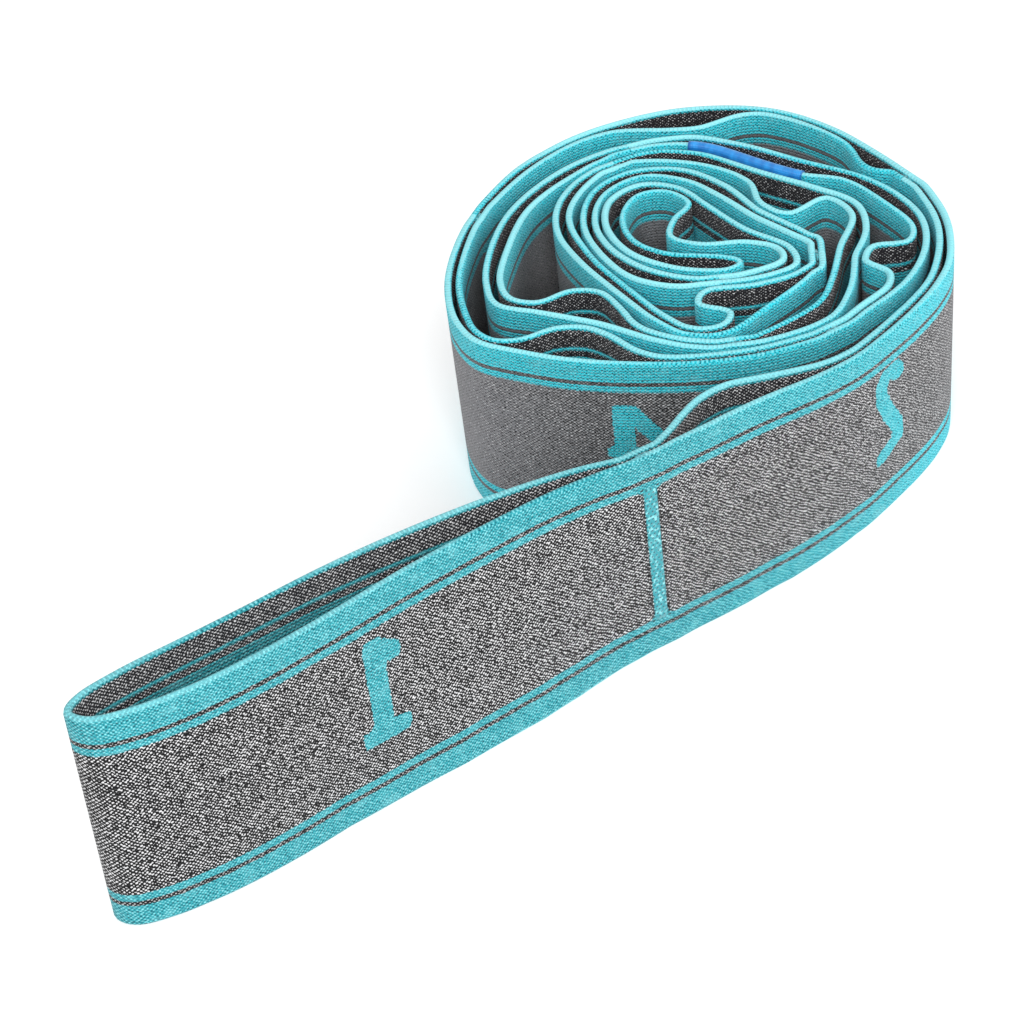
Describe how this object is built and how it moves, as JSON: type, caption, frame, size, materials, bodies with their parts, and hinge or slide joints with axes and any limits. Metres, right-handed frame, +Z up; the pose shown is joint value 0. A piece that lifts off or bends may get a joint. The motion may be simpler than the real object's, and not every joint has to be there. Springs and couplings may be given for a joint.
{
  "type": "stretching strap",
  "caption": "Elastic multi-loop stretching strap of doubled webbing, rolled up on edge with its end loop lying free.",
  "frame": {"origin": "middle of the footprint on the surface that the lower edge of the strap rests on", "axes": "+Z up along the width of the strap, +X to the right with the free tail reaching to -X and -Y, the roll lies at +X and +Y"},
  "size_m": [0.1438, 0.1442, 0.0407],
  "materials": {
    "webbing_outer": "knitted elastic webbing, turquoise bands with a heather grey middle",
    "webbing_inner": "reverse of the elastic webbing, turquoise with dark edge stripes",
    "woven_seam": "dense woven cross seam, turquoise",
    "satin_label": "blank blue satin"
  },
  "bodies": {
    "rolled_core": {"loop_06_outer_ply": "webbing_outer", "loop_06_inner_ply": "webbing_inner", "loop_07_outer_ply": "webbing_outer", "loop_07_inner_ply": "webbing_inner", "loop_08_outer_ply": "webbing_outer", "loop_08_inner_ply": "webbing_inner", "loop_09_outer_ply": "webbing_outer", "loop_09_inner_ply": "webbing_inner", "loop_10_ply": "webbing_outer", "cross_seam_05": "woven_seam", "cross_seam_06": "woven_seam", "cross_seam_07": "woven_seam", "cross_seam_08": "woven_seam", "cross_seam_09": "woven_seam"},
    "loop_5": {"loop_05_outer_ply": "webbing_outer", "loop_05_inner_ply": "webbing_inner", "cross_seam_04": "woven_seam", "side_label": "satin_label"},
    "loop_4": {"loop_04_outer_ply": "webbing_outer", "loop_04_inner_ply": "webbing_inner", "cross_seam_03": "woven_seam"},
    "loop_3": {"loop_03_outer_ply": "webbing_outer", "loop_03_inner_ply": "webbing_inner", "cross_seam_02": "woven_seam"},
    "loop_2": {"loop_02_outer_ply": "webbing_outer", "loop_02_inner_ply": "webbing_inner"},
    "seam_1": {"cross_seam_01": "woven_seam"},
    "loop_1": {"loop_01_ply": "webbing_outer"}
  },
  "joints": [
    {"name": "unroll_at_seam_5", "type": "hinge", "parent": "rolled_core", "child": "loop_5", "pos_m": [0.02413, 0.06277, 0.02], "axis": [0, 0, 1], "range_deg": [0, 20]},
    {"name": "unroll_at_seam_4", "type": "hinge", "parent": "loop_5", "child": "loop_4", "pos_m": [0.0473, -0.00302, 0.02], "axis": [0, 0, 1], "range_deg": [0, 40]},
    {"name": "unroll_at_seam_3", "type": "hinge", "parent": "loop_4", "child": "loop_3", "pos_m": [-0.00537, 0.04781, 0.02], "axis": [0, 0, 1], "range_deg": [0, 60]},
    {"name": "unroll_at_seam_2", "type": "hinge", "parent": "loop_3", "child": "loop_2", "pos_m": [0.06949, 0.03911, 0.02], "axis": [0, 0, 1], "range_deg": [0, 80]},
    {"name": "tail_folds_outwards", "type": "hinge", "parent": "loop_2", "child": "seam_1", "pos_m": [0.0169, -0.02747, 0.02], "axis": [0, 0, 1], "range_deg": [0, 90]},
    {"name": "tail_folds_inwards", "type": "hinge", "parent": "seam_1", "child": "loop_1", "pos_m": [0.01262, -0.02647, 0.02], "axis": [0, 0, 1], "range_deg": [-60, 0]}
  ],
  "couplings": [
    {"joint": "unroll_at_seam_4", "follows": "unroll_at_seam_5", "ratio": 2},
    {"joint": "unroll_at_seam_3", "follows": "unroll_at_seam_5", "ratio": 3},
    {"joint": "unroll_at_seam_2", "follows": "unroll_at_seam_5", "ratio": 4}
  ]
}
